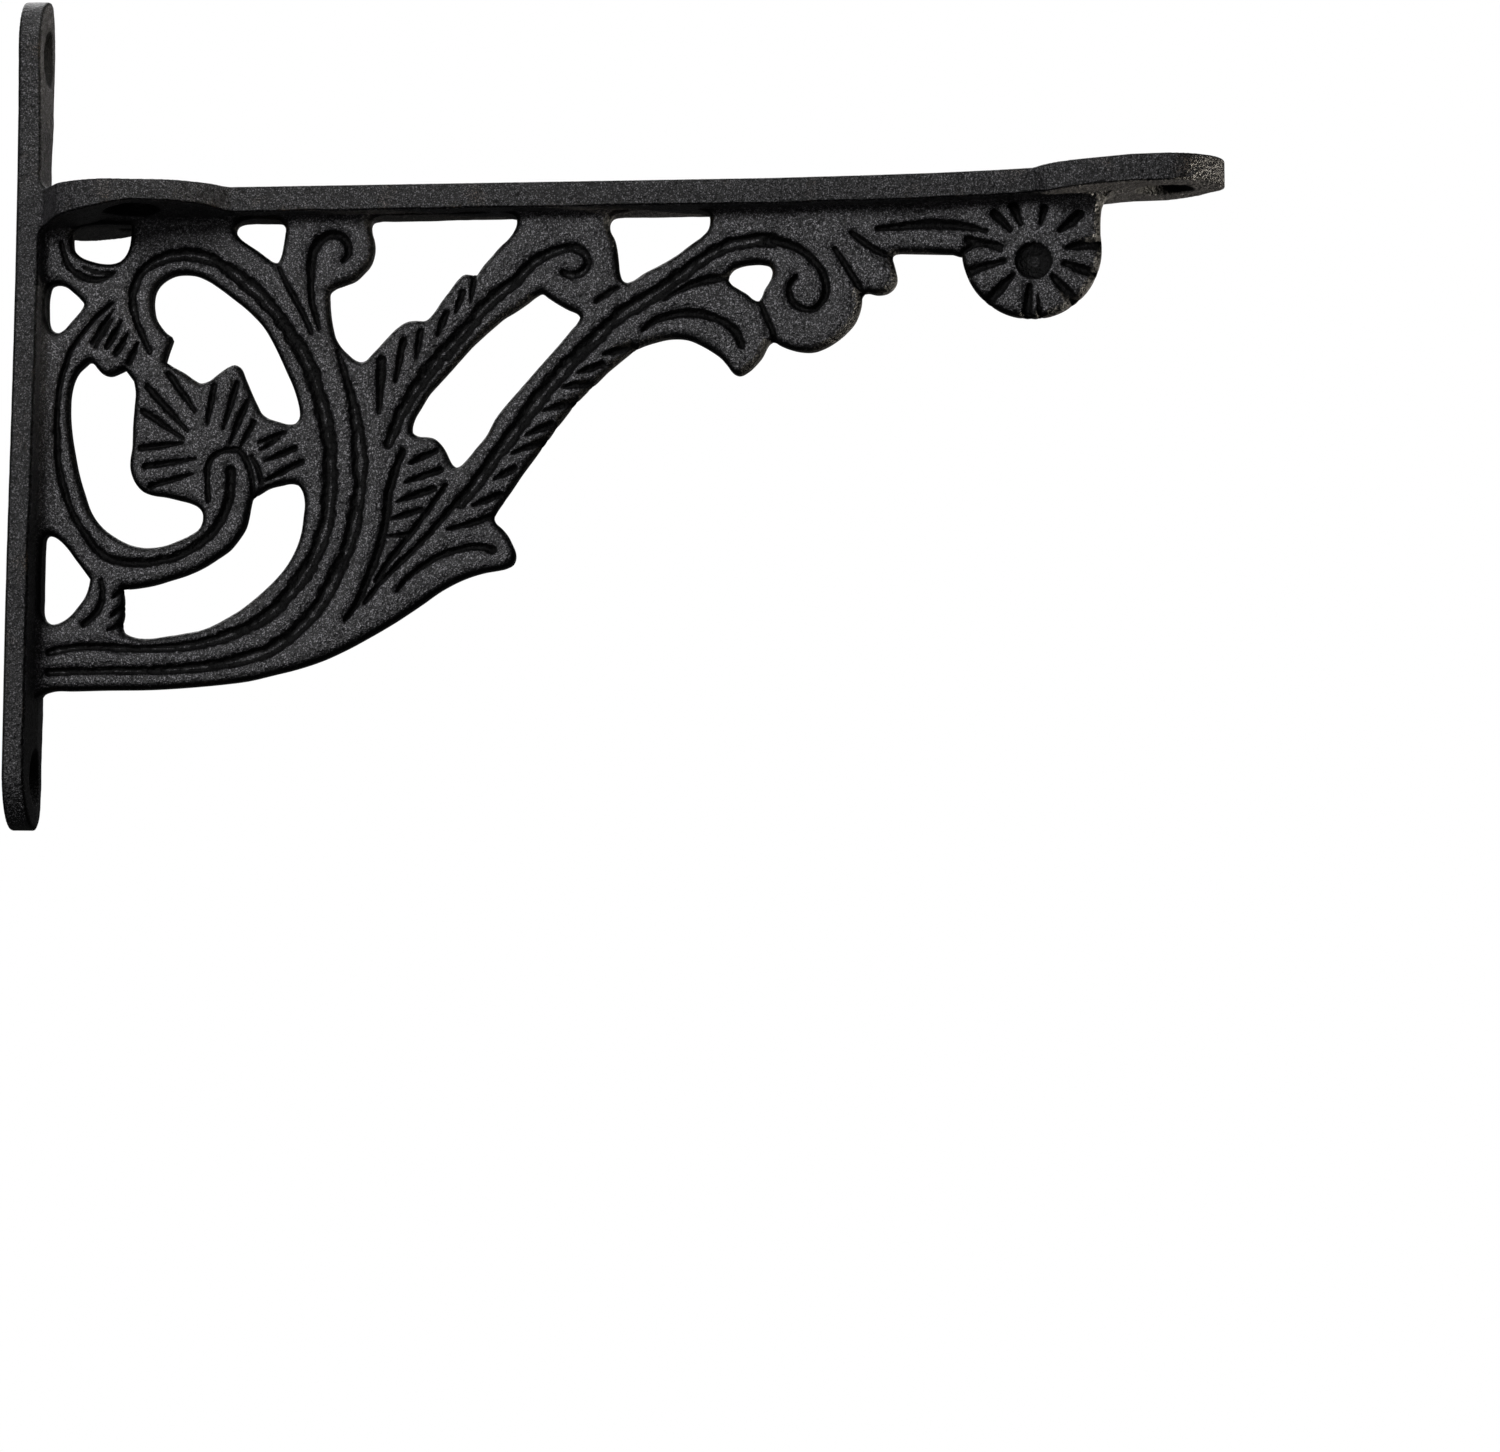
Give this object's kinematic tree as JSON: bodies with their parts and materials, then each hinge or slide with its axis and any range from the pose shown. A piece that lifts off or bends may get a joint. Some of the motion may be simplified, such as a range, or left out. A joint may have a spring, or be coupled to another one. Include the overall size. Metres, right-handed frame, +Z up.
{
  "type": "ornate shelf bracket",
  "caption": "Cast iron shelf bracket: wall plate and arm joined by a pierced scroll-and-leaf web, screwed to a wall to carry a shelf.",
  "frame": {"origin": "on the back of the wall plate, on its middle line, at the height of the shelf seat", "axes": "+X out from the wall along the arm, +Y across the bracket, +Z up"},
  "size_m": [0.2501, 0.044, 0.1734],
  "materials": {
    "cast_iron": "satin black paint over a fine sand-cast grain"
  },
  "bodies": {
    "root": {"bracket_casting": "cast_iron"}
  },
  "joints": []
}
